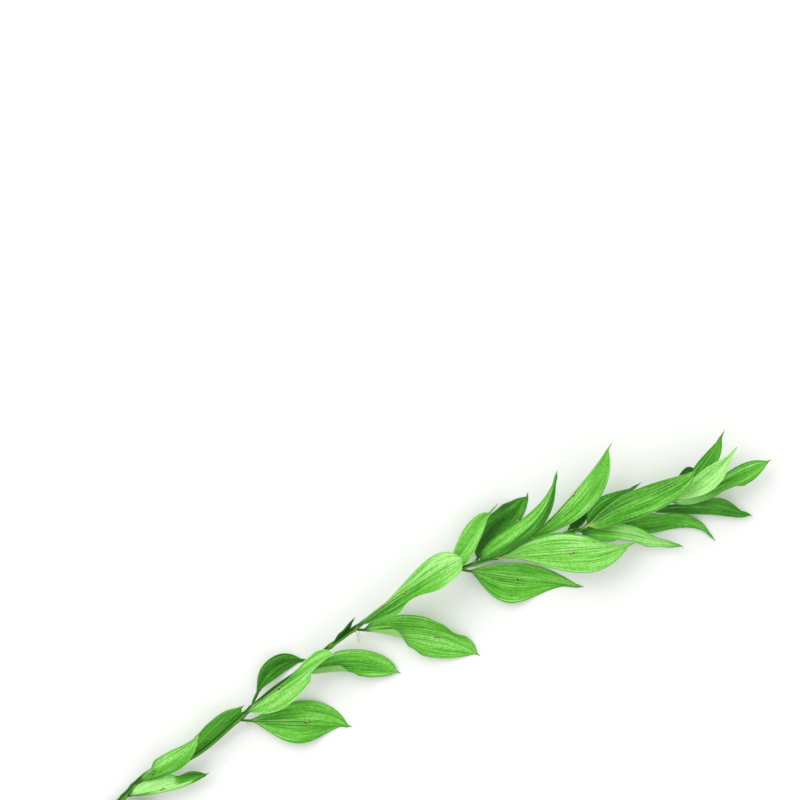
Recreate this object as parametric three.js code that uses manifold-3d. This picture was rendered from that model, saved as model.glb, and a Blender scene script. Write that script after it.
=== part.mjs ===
// One cut leafy stem of preserved ruscus, lying on a flat surface: a green stem that bends a little
// at each node, and pointed leaves on short stalks, all grown as one piece.
// Millimetres. +X runs from the cut end to the tip, +Y to the stem's left and +Z up. The origin is at
// the middle of the bounding box, on the surface that the stem lies on.
import * as THREE from "three";
import { mergeVertices } from "three/addons/utils/BufferGeometryUtils.js";
import Module from "manifold-3d";

const wasm = await Module();
wasm.setup();

// The stem's centre line from the cut end, as [x, y, z].
const STEM_ROUTE = [
  [0, -26, 2.2], [48, -12, 3.6], [88, 0, 5.5], [116, 8, 7.5], [148, 4, 8.5], [189, 12.8, 10],
  [216, 18.9, 11], [236, 21.6, 11.7], [258, 26, 12.5], [285, 30, 13], [323, 36, 14],
  [344, 35, 14.5], [371, 32, 15], [390, 29, 15], [415, 27, 15], [452, 18, 15.5], [479, 13, 16],
  [500, 9, 16.5], [515, 6.5, 17],
];
const STEM_LENGTH_X = 513;
const STEM_RADIUS_CUT = 2.2;
const STEM_RADIUS_TIP = 1.1;
const STEM_SIDES = 8;
const STEM_GROOVE = 0.9; // every second corner stands this share of the radius from the centre
const STEM_STEP = 20;
const STEM_STATION_GAP = 2; // stations closer than this are one
const CUT_SLANT = 0.7; // how far the cut leans back for each millimetre up
const NODE_SWELL = 0.28; // a node's ring is thicker by this share
const NODE_REACH = 3; // how far along the stem a node's swelling reaches

// Leaves. Lengths along the blade and across it are split at these shares.
const ALONG = [0, 0.05, 0.12, 0.22, 0.34, 0.46, 0.58, 0.7, 0.82, 0.93, 1];
const ACROSS = [-1, -0.7, -0.36, 0, 0.36, 0.7, 1];
const BLADE_THICKNESS = 0.6;
const STALK_THICKNESS = 1.3;
const STALK_HALF_WIDTH = 0.8;
const TIP_HALF_WIDTH = 0.35;
const RIB_HEIGHT = 0.35;
const FLATTEN = 1.5; // a blade bends flat over this height where it meets the surface
const TOUCH = 0.05; // what comes this near the surface lies flat on it
const STALK_TAPER = 0.05; // share of the leaf past its stalk that is no narrower than the stalk
const THINNING = 0.12; // share of the leaf over which the stalk thins out into the blade
const LEAST_CURL = 0.001; // radians, so that a flat half is not divided by zero
const RIGHT_PHASE = 2.1; // radians by which the right margin's waves lag the left one's

const GREEN = 0x4fa52e;

// Where each leaf leaves the stem, and its form:
//   at         place along X of its node
//   heading    degrees from +X to the line from node to tip, to the left
//   length     node to tip, width across the flattened blade
//   bow, sway  how far the midrib bends left in one curve, and in an S
//   mid, tip   height of the midrib half way and at the tip
//   roll       turn about the midrib, left side up
//   left,right degrees that each half curls up from midrib to margin
//              (these three are one value, or values at even steps from base to tip)
//   crease     shares of the right half that stay flat and that bend, so that the rest folds back
//   opening    shares of the length between which the halves begin to fold and curl
//   fold       degrees that both halves rise from the midrib
//   shape      powers of the width's rise and fall, shapeRight for the right half where it differs
//   lean       share by which the left half is wider than the right one
//   stalk      length of the stalk, spine the length of the thread at the tip
const LEAF = {
  bow: 0, sway: 0, roll: 0, left: 12, right: 12, crease: [0, 1], opening: [0.04, 0.29], fold: 8,
  shape: [1.15, 1.05], lean: 0, stalk: 5, spine: 3, wave: 0.6, waves: 2, phase: 0,
};
const LEAVES = [
  { at: 64, heading: -20, length: 60, width: 22, bow: 2, mid: 3, tip: -2 },
  { at: 92, heading: -12, length: 60.5, width: 14, bow: -1.8, mid: 11, tip: 8,
    roll: [-10, -12, -15, -15, -10, 25, 25], left: [20, 20, 20, 20, 100, 0, 0], right: 20,
    shape: [0.6, 0.65], shapeRight: [0.9, 0.65], lean: 0.57 },
  { at: 101, heading: 12, length: 60, width: 14.7, bow: -3.5, sway: 1.5, mid: 18, tip: 22,
    roll: [-10, -20, -10], left: [140, 140, 140, -10, -10, -10, -10, -10], right: -50,
    shape: [0.7, 1], shapeRight: [0.8, 0.8], lean: 0.05, stalk: 8 },
  { at: 142, heading: 15.5, length: 53.8, width: 17, bow: 2, mid: 7, tip: 12, roll: [30, 35, 20],
    shapeRight: [0.9, 0.6], lean: 0.04 },
  { at: 189, heading: 7, length: 78, width: 21, bow: 1.4, mid: 22, tip: 25,
    roll: [-20, -25, 5], left: [-40, -40, -30, -20, 0], fold: -15,
    right: [-15, -15, -15, -15, -15, -15, -140, -150, -150], shape: [3, 0.6],
    shapeRight: [0.9, 1.5], lean: -0.22 },
  { at: 237, heading: -29.4, length: 69, width: 21.1, bow: 7, mid: 8, tip: 1, roll: [0, 5, 5],
    left: -5, right: [165, 165, 165, 165, 90, 50, 10, 5, 0], crease: [0.47, 0.15],
    opening: [0.06, 0.12], shape: [0.9, 0.6], shapeRight: [0.3, 0.55], lean: -0.12 },
  { at: 197, heading: 12.5, length: 50, width: 15, bow: 8, mid: 4, tip: -2, roll: [20, 15, 0],
    lean: 0.5, stalk: 9 },
  { at: 184.5, heading: -31.5, length: 78, width: 29.8, bow: 0.9, sway: -0.7, mid: 3, tip: -3,
    roll: [0, -5, -5], fold: 5, shape: [1.1, 0.8], shapeRight: [1.75, 1.75], stalk: 8 },
  { at: 285, heading: 5.8, length: 88, width: 24, bow: 2.5, mid: 27, tip: 23,
    roll: [15, 5, -10], left: -25, right: [-10, 10, 107, 40, -15], shape: [2.4, 0.55],
    shapeRight: [0.7, 0.42], lean: -0.08 },
  { at: 283, heading: -40, length: 88, width: 28.5, bow: 6, sway: -1.6, mid: 5, tip: -2,
    roll: [20, 5, 0], left: [5, 5, 5, 5, 20, 50, 85, 40, 5],
    right: [165, 165, 155, 50, 10, 10, 10, 10], crease: [0.2, 0.15], opening: [0.08, 0.14],
    shape: [0.45, 0.58], shapeRight: [1.2, 0.85], lean: -0.05, stalk: 8 },
  { at: 264, heading: 22, length: 26, width: 10, mid: 14, tip: 16, roll: [60, 65, 60], stalk: 3 },
  { at: 356.8, heading: 26.8, length: 58.5, width: 16.2, bow: 1.2, mid: 17, tip: 22,
    roll: [-10, -20, -10], left: -10, right: 10, shape: [0.8, 0.5], shapeRight: [0.6, 1.2],
    lean: -0.06, spine: 9 },
  { at: 376, heading: 25, length: 60.4, width: 31, bow: -4, sway: 3, mid: 5, tip: -2,
    roll: [10, 12, 0], right: [0, -40, -80, -80], shape: [0.6, 0.55], shapeRight: [1, 3],
    lean: 0.15 },
  { at: 376, heading: 21.2, length: 84, width: 16, bow: -11, sway: 1.2, mid: 28, tip: 30,
    roll: [-15, -20, -20], left: 10, right: -70, fold: -5, shape: [0.45, 1.1],
    shapeRight: [1.2, 1.2], lean: 0.12 },
  { at: 412, heading: 21.8, length: 90.3, width: 18.4, bow: -3.5, mid: 23, tip: 28, spine: 5,
    roll: [-12, -14, -14], left: -140, right: -25, fold: -10, shapeRight: [1.15, 0.85],
    lean: -0.66 },
  { at: 389, heading: -21.9, length: 96, width: 30, bow: -2, mid: 20, tip: 16, roll: [0, 0, 20],
    left: [12, 12, 12, 12, 12, 12, -75, -160, -160], shape: [1.3, 1.7], shapeRight: [2, 1],
    lean: 0.02 },
  { at: 365, heading: -36, length: 86, width: 28.5, bow: -1, mid: 1, tip: -3, fold: 5, lean: -0.22,
    shape: [1, 1], shapeRight: [1.6, 2.65], stalk: 7 },
  { at: 452, heading: 11, length: 50.5, width: 19, bow: 1, mid: 16, tip: 16, roll: 10,
    shape: [0.7, 1.4], lean: 0.05, spine: 5 },
  { at: 452, heading: 0, length: 85, width: 19.3, bow: 2, sway: 1, mid: 29, tip: 31,
    roll: 5, left: -25, right: -25, shape: [1, 1], shapeRight: [0.45, 0.42], lean: -0.38 },
  { at: 446, heading: -35.9, length: 75.6, width: 15, bow: 3, sway: 0.5, mid: 12, tip: 6,
    roll: [-10, -10, 0, 50, 30], right: [12, 12, 12, 20, 75, 85, 95, 65, 12, 12, 12],
    shape: [0.7, 1], shapeRight: [0.35, 0.6], lean: -0.04 },
  { at: 466, heading: -37, length: 78, width: 15.4, bow: 9.6, sway: -3.4, mid: 5, tip: 1,
    roll: [20, 35, -40], left: [12, 12, 12, 12, 12, 50, 40, 50, 75, 12, 12], shape: [0.9, 0.75],
    shapeRight: [0.9, 1.3], lean: -0.27 },
  { at: 495, heading: -31, length: 74, width: 14.5, bow: 5, mid: 10, tip: 3, roll: [20, 25, 10],
    shape: [4, 2.3], shapeRight: [0.35, 0.38], lean: 0.17 },
  { at: 510, heading: -5.2, length: 77, width: 16.5, bow: -3, mid: 13, tip: 12,
    right: [12, 50, 60, 64, 85, 112, 105, 45, 10, 10, 10], shape: [2.4, 0.85],
    shapeRight: [0.7, 0.75], lean: -0.09, stalk: 4 },
  { at: 508, heading: 10.9, length: 62, width: 15.2, bow: -4.5, mid: 23, tip: 27,
    roll: [-10, -15, -10], shape: [1.15, 1.3], shapeRight: [1.5, 1.5], lean: -0.16, stalk: 7 },
  { at: 509, heading: 23.8, length: 64, width: 11.5, bow: -4, mid: 17, tip: 22,
    roll: [-10, -10, 0], shapeRight: [1.15, 0.8], lean: -0.29, stalk: 7, spine: 5.5 },
  { at: 500, heading: 14.5, length: 41.5, width: 15, bow: 1.5, mid: 15, tip: 16, roll: 10,
    shape: [3.5, 0.55], shapeRight: [1.5, 0.5], lean: -0.4 },
  { at: 441, heading: 24, length: 32, width: 10, mid: 11, tip: 12, roll: 10,
    shape: [0.8, 1], shapeRight: [0.45, 1], stalk: 4 },
];

const radians = THREE.MathUtils.degToRad;

// The stem's centre at a place along X: a smooth curve through the route's points.
function stemAt(x) {
  const last = STEM_ROUTE.length - 2;
  let i = 0;
  while (i < last && STEM_ROUTE[i + 1][0] <= x) i++;
  const [before, from, to, after] = [i - 1, i, i + 1, i + 2].map(
    (k) => new THREE.Vector3(...STEM_ROUTE[THREE.MathUtils.clamp(k, 0, last + 1)]),
  );
  const span = to.x - from.x;
  const t = (x - from.x) / span;
  const slope = (a, b) => b.clone().sub(a).multiplyScalar(span / (b.x - a.x));
  return from
    .clone()
    .multiplyScalar(2 * t ** 3 - 3 * t ** 2 + 1)
    .addScaledVector(slope(before, to), t ** 3 - 2 * t ** 2 + t)
    .addScaledVector(to, 3 * t ** 2 - 2 * t ** 3)
    .addScaledVector(slope(from, after), t ** 3 - t ** 2);
}

// One value, or an easing through values at even steps from base to tip.
function ease(u, values) {
  if (!Array.isArray(values)) return values;
  const place = THREE.MathUtils.clamp(u, 0, 1) * (values.length - 1);
  const i = Math.min(Math.floor(place), values.length - 2);
  return THREE.MathUtils.lerp(values[i], values[i + 1], THREE.MathUtils.smoothstep(place - i, 0, 1));
}

// A parabola through a at 0, m at a half and b at 1.
function parabola(u, a, m, b) {
  return a * (1 - u) * (1 - 2 * u) + m * 4 * u * (1 - u) + b * u * (2 * u - 1);
}

// Lays a height on the surface: what would sink into it bends flat instead.
function restOn(z) {
  const depth = z - BLADE_THICKNESS / 2;
  if (depth >= FLATTEN) return z;
  if (depth <= -FLATTEN) return BLADE_THICKNESS / 2;
  return BLADE_THICKNESS / 2 + (depth + FLATTEN) ** 2 / (4 * FLATTEN);
}

// Half the width of the blade on one side, from the stalk to the thread at the tip.
function halfWidth(leaf, u, side) {
  const stalk = leaf.stalk / leaf.length;
  const spine = leaf.spine / leaf.length;
  const v = THREE.MathUtils.clamp((u - stalk) / (1 - stalk - spine), 0, 1);
  const [rise, fall] = (side < 0 && leaf.shapeRight) || leaf.shape;
  const peak = rise / (rise + fall);
  const most = peak ** rise * (1 - peak) ** fall;
  const half = (leaf.width / 2) * (1 + side * leaf.lean);
  const least = u < stalk + STALK_TAPER ? STALK_HALF_WIDTH : TIP_HALF_WIDTH;
  return Math.max(least, (half * v ** rise * (1 - v) ** fall) / most);
}

// The point of the midrib at u.
function midribAt(leaf, u) {
  const base = stemAt(leaf.at);
  const heading = radians(leaf.heading);
  const along = new THREE.Vector3(Math.cos(heading), Math.sin(heading), 0);
  const across = new THREE.Vector3(-Math.sin(heading), Math.cos(heading), 0);
  const offset = leaf.bow * 4 * u * (1 - u) + leaf.sway * Math.sin(2 * Math.PI * u);
  const point = base.clone().addScaledVector(along, u * leaf.length).addScaledVector(across, offset);
  point.z = parabola(u, base.z, leaf.mid, leaf.tip);
  return point;
}

// How far out and up a half goes, as shares of its width, at a share of the way to its margin: flat
// at first, then bent evenly through the curl, then straight on.
function section(reach, curl, [flat, bend]) {
  const bent = THREE.MathUtils.clamp(reach - flat, 0, bend);
  const past = Math.max(0, reach - flat - bend);
  const angle = (curl * bent) / bend;
  return [
    Math.min(reach, flat) + (bend * Math.sin(angle)) / curl + past * Math.cos(curl),
    (bend * (1 - Math.cos(angle))) / curl + past * Math.sin(curl),
  ];
}

// A point of the blade's middle surface: u from node to tip, v from the right margin to the left.
function bladePoint(leaf, u, v) {
  const centre = midribAt(leaf, u);
  const step = 0.01;
  const tangent = midribAt(leaf, u + step).sub(midribAt(leaf, u - step)).normalize();
  const level = new THREE.Vector3(0, 0, 1).cross(tangent).normalize();
  const roll = radians(ease(u, leaf.roll));
  const left = level.clone().applyAxisAngle(tangent, roll);
  const up = tangent.clone().cross(left);
  const side = v < 0 ? -1 : 1;
  const reach = Math.abs(v);
  const opening = THREE.MathUtils.clamp(THREE.MathUtils.inverseLerp(...leaf.opening, u), 0, 1);
  const curl = radians(ease(u, side > 0 ? leaf.left : leaf.right)) * opening || LEAST_CURL;
  const fold = radians(leaf.fold) * opening;
  const half = halfWidth(leaf, u, side);
  const [out, rise] = section(reach, curl, side > 0 ? LEAF.crease : leaf.crease);
  const turns = 2 * Math.PI * (leaf.waves * u + leaf.phase) + (side > 0 ? 0 : RIGHT_PHASE);
  const ripple = leaf.wave * reach ** 2 * Math.sin(turns) * Math.sin(Math.PI * u);
  centre.addScaledVector(left, side * half * (out * Math.cos(fold) - rise * Math.sin(fold)));
  centre.addScaledVector(up, half * (out * Math.sin(fold) + rise * Math.cos(fold)) + ripple);
  centre.z = restOn(centre.z);
  return centre;
}

// A closed solid from two grids of points, an upper and a lower face with the same rows and columns.
// Both faces are split along the same diagonals, so they never cross.
function slab(upper, lower) {
  const rows = upper.length;
  const columns = upper[0].length;
  const positions = [...upper.flat(), ...lower.flat()].flatMap((p) => p.toArray());
  const top = (i, j) => i * columns + j;
  const under = (i, j) => rows * columns + i * columns + j;
  const index = [];
  const quad = (a, b, c, d) => index.push(a, b, c, a, c, d);
  for (let i = 0; i + 1 < rows; i++) {
    for (let j = 0; j + 1 < columns; j++) {
      quad(top(i, j), top(i + 1, j), top(i + 1, j + 1), top(i, j + 1));
      quad(under(i + 1, j + 1), under(i + 1, j), under(i, j), under(i, j + 1));
    }
    quad(top(i, 0), under(i, 0), under(i + 1, 0), top(i + 1, 0));
    quad(top(i + 1, columns - 1), under(i + 1, columns - 1), under(i, columns - 1), top(i, columns - 1));
  }
  for (let j = 0; j + 1 < columns; j++) {
    quad(top(0, j), top(0, j + 1), under(0, j + 1), under(0, j));
    quad(top(rows - 1, j + 1), top(rows - 1, j), under(rows - 1, j), under(rows - 1, j + 1));
  }
  return solidOf(positions, index);
}

// A closed solid from positions and triangles.
function solidOf(positions, index) {
  const geometry = new THREE.BufferGeometry();
  geometry.setAttribute("position", new THREE.Float32BufferAttribute(positions, 3));
  geometry.setIndex(index);
  const merged = mergeVertices(geometry, 1e-5);
  return new wasm.Manifold(
    new wasm.Mesh({
      numProp: 3,
      vertProperties: merged.attributes.position.array,
      triVerts: new Uint32Array(merged.index.array),
    }),
  );
}

// Half the thickness of a leaf: a round stalk that thins out into the blade.
function halfThickness(leaf, u) {
  const stalk = leaf.stalk / leaf.length;
  const thinning = THREE.MathUtils.smoothstep(u, stalk, stalk + THINNING);
  return THREE.MathUtils.lerp(STALK_THICKNESS, BLADE_THICKNESS, thinning) / 2;
}

// One leaf with its stalk, its midrib raised on the upper face.
function leafSolid(form) {
  const leaf = { ...LEAF, ...form };
  const middle = ALONG.map((u) => ACROSS.map((v) => bladePoint(leaf, u, v)));
  const faces = [1, -1].map((sign) =>
    ALONG.map((u, i) =>
      ACROSS.map((v, j) => {
        const ahead = middle[Math.min(i + 1, ALONG.length - 1)][j].clone();
        const behind = middle[Math.max(i - 1, 0)][j];
        const left = middle[i][Math.min(j + 1, ACROSS.length - 1)].clone();
        const right = middle[i][Math.max(j - 1, 0)];
        const normal = ahead.sub(behind).cross(left.sub(right)).normalize();
        const rib = sign > 0 && v === 0 ? RIB_HEIGHT * (1 - u) : 0;
        const point = middle[i][j].clone().addScaledVector(normal, sign * halfThickness(leaf, u) + rib);
        point.z = point.z < TOUCH ? 0 : point.z;
        return point;
      }),
    ),
  );
  return slab(...faces);
}

// The stem's radius at a place along X, thicker at each node.
function stemRadius(x) {
  const taper = THREE.MathUtils.lerp(STEM_RADIUS_CUT, STEM_RADIUS_TIP, x / STEM_LENGTH_X);
  const nearest = Math.min(...LEAVES.map((leaf) => Math.abs(leaf.at - x)));
  return taper * (1 + NODE_SWELL * Math.max(0, 1 - nearest / NODE_REACH));
}

// The places along X where the stem has a ring of corners: evenly spaced, and at and beside each node.
function stemStations() {
  const even = [];
  for (let x = STEM_STEP; x < STEM_LENGTH_X; x += STEM_STEP) even.push(x);
  const nodes = LEAVES.flatMap(({ at }) => [at - NODE_REACH, at, at + NODE_REACH]);
  const stations = [0];
  for (const x of [...even, ...nodes].sort((a, b) => a - b)) {
    const clear = x - stations.at(-1) >= STEM_STATION_GAP;
    if (clear && x <= STEM_LENGTH_X - STEM_STATION_GAP) stations.push(x);
  }
  return [...stations, STEM_LENGTH_X];
}

// The stem: rings of corners with a groove between each two ridges, slanted at the cut end.
function stemSolid() {
  const stations = stemStations();
  const positions = [];
  const index = [];
  stations.forEach((x, k) => {
    const centre = stemAt(x);
    const tangent = stemAt(x + 0.5).sub(stemAt(x - 0.5)).normalize();
    const left = new THREE.Vector3(0, 0, 1).cross(tangent).normalize();
    const up = tangent.clone().cross(left);
    for (let s = 0; s < STEM_SIDES; s++) {
      const angle = (2 * Math.PI * s) / STEM_SIDES + Math.PI / STEM_SIDES;
      const radius = stemRadius(x) * (s % 2 ? STEM_GROOVE : 1);
      const corner = centre
        .clone()
        .addScaledVector(left, radius * Math.cos(angle))
        .addScaledVector(up, radius * Math.sin(angle));
      if (k === 0) corner.addScaledVector(tangent, CUT_SLANT * radius * Math.sin(angle));
      corner.z = Math.max(corner.z, 0);
      positions.push(...corner.toArray());
    }
  });
  const at = (k, s) => k * STEM_SIDES + (s % STEM_SIDES);
  const last = stations.length - 1;
  for (let k = 0; k < last; k++) {
    for (let s = 0; s < STEM_SIDES; s++) {
      index.push(at(k, s), at(k, s + 1), at(k + 1, s + 1));
      index.push(at(k, s), at(k + 1, s + 1), at(k + 1, s));
    }
  }
  for (let s = 1; s + 1 < STEM_SIDES; s++) {
    index.push(at(0, 0), at(0, s + 1), at(0, s));
    index.push(at(last, 0), at(last, s), at(last, s + 1));
  }
  return solidOf(positions, index);
}

// The whole leafy stem as one mesh, with its origin under the middle of its bounding box.
function leafyStem() {
  const joined = LEAVES.reduce((solid, leaf) => solid.add(leafSolid(leaf)), stemSolid());
  const { min, max } = joined.boundingBox();
  const mesh = joined.getMesh();
  const positions = [];
  for (let i = 0; i < mesh.numVert; i++) {
    const [x, y, z] = mesh.vertProperties.subarray(i * mesh.numProp, i * mesh.numProp + 3);
    positions.push(x - (min[0] + max[0]) / 2, y - (min[1] + max[1]) / 2, z - min[2]);
  }
  const geometry = new THREE.BufferGeometry();
  geometry.setAttribute("position", new THREE.Float32BufferAttribute(positions, 3));
  geometry.setIndex(Array.from(mesh.triVerts));
  geometry.computeVertexNormals();
  const material = new THREE.MeshStandardMaterial({ color: GREEN, roughness: 0.45, metalness: 0 });
  const made = new THREE.Mesh(geometry, material);
  made.name = "leafy_stem";
  return made;
}

const part = new THREE.Group();
part.add(leafyStem());

export default part;
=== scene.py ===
import math

import bpy
import numpy as np
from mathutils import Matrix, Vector


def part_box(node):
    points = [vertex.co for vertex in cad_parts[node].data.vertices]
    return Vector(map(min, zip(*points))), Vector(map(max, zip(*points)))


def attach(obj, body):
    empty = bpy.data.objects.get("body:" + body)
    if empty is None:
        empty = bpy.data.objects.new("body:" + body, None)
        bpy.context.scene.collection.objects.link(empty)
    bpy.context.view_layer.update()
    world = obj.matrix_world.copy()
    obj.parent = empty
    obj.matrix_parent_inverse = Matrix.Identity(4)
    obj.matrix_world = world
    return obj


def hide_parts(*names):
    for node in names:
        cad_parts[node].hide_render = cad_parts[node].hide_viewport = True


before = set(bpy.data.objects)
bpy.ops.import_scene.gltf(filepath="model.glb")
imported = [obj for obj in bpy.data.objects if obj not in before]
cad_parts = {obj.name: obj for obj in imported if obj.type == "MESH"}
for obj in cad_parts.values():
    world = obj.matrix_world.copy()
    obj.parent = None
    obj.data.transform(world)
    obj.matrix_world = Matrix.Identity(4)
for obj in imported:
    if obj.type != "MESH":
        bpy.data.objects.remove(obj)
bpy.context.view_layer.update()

# One cut leafy stem of preserved ruscus, lying on a pale surface. Lengths in this script are in
# millimetres and are turned into metres where a mesh, a lamp or the camera is made. Before it is
# shifted onto the frame, +X runs along the stem from its cut end, +Y to its left and +Z up.
MM = 0.001

# The stem's centre line from the cut end, as [x, y, z].
STEM_ROUTE = [
    [0, -26, 2.2], [48, -12, 3.6], [88, 0, 5.5], [116, 8, 7.5], [148, 4, 8.5], [189, 12.8, 10],
    [216, 18.9, 11], [236, 21.6, 11.7], [258, 26, 12.5], [285, 30, 13], [323, 36, 14],
    [344, 35, 14.5], [371, 32, 15], [390, 29, 15], [415, 27, 15], [452, 18, 15.5], [479, 13, 16],
    [500, 9, 16.5], [515, 6.5, 17],
]
STEM_LENGTH_X = 513
STEM_RADIUS_CUT = 2.2
STEM_RADIUS_TIP = 1.1
STEM_SIDES = 40
STEM_RIDGES = 4
FIRST_RIDGE = math.pi / 8
STEM_RIDGE = 0.06  # a ridge stands out, and a groove sinks in, by this share of the radius
STEM_STEP = 1.6
CUT_SLANT = 0.7
NODE_SWELL = 0.28
NODE_REACH = 3

# Leaves. A leaf's surface is a grid of rows along it and columns across it.
ROWS = 64
COLUMNS = 64
COLUMN_CROWDING = 1.3  # above 1, columns stand closer together beside the midrib
SMALL_STEP = 0.01  # share of the length over which a leaf's direction is measured
BESIDE = 0.1  # share of a half over which its direction to the left is measured
REST_HEIGHT = 0.3  # height of the middle of a blade that lies on the surface
FLATTEN = 1.5
BLADE_THICKNESS = 0.42
STALK_THICKNESS = 1.3
STALK_HALF_WIDTH = 0.65
TIP_HALF_WIDTH = 0.14
TIP_CONE = 0.8  # the thread at the tip widens by this much along its own length
TIP_CONE_REACH = 1.2  # and goes on widening to this many of its lengths
TIP_CONE_CURVE = 1.7  # above 1, most of it near the blade
STALK_TAPER = 0.05
THINNING = 0.12
LEAST_CURL = 0.001
RIGHT_PHASE = 2.1
MARGIN_THINNING = 0.45  # the blade loses this share of its thickness at its margin
MARGIN_SHARPNESS = 6  # higher keeps the thinning closer to the margin
RIB_HEIGHT = 0.22
RIB_WIDTH = 0.35
UNDER_RIB = 0.6  # the midrib stands out below by this share of its height above
VEINS = 5  # main veins on each side of the midrib
VEIN_RELIEF = 0.04
VEIN_START = 0.2  # share of a half, beside the midrib, over which the veins begin
TIP_FADE = 0.1  # share of the length over which relief fades towards the tip
PLEAT = 0.22  # height of the slow lengthwise pleats
PLEAT_WAVES = (7, 5)  # how fast the pleats turn across and along the leaf
FINE_PLEAT_WAVES = (13, 9)
LEAST_HEIGHT = 0.02  # the upper face stays this far above the surface
LEAF_CREASE_ANGLE = 60  # degrees above which an edge is drawn sharp
STEM_CREASE_ANGLE = 40

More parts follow.
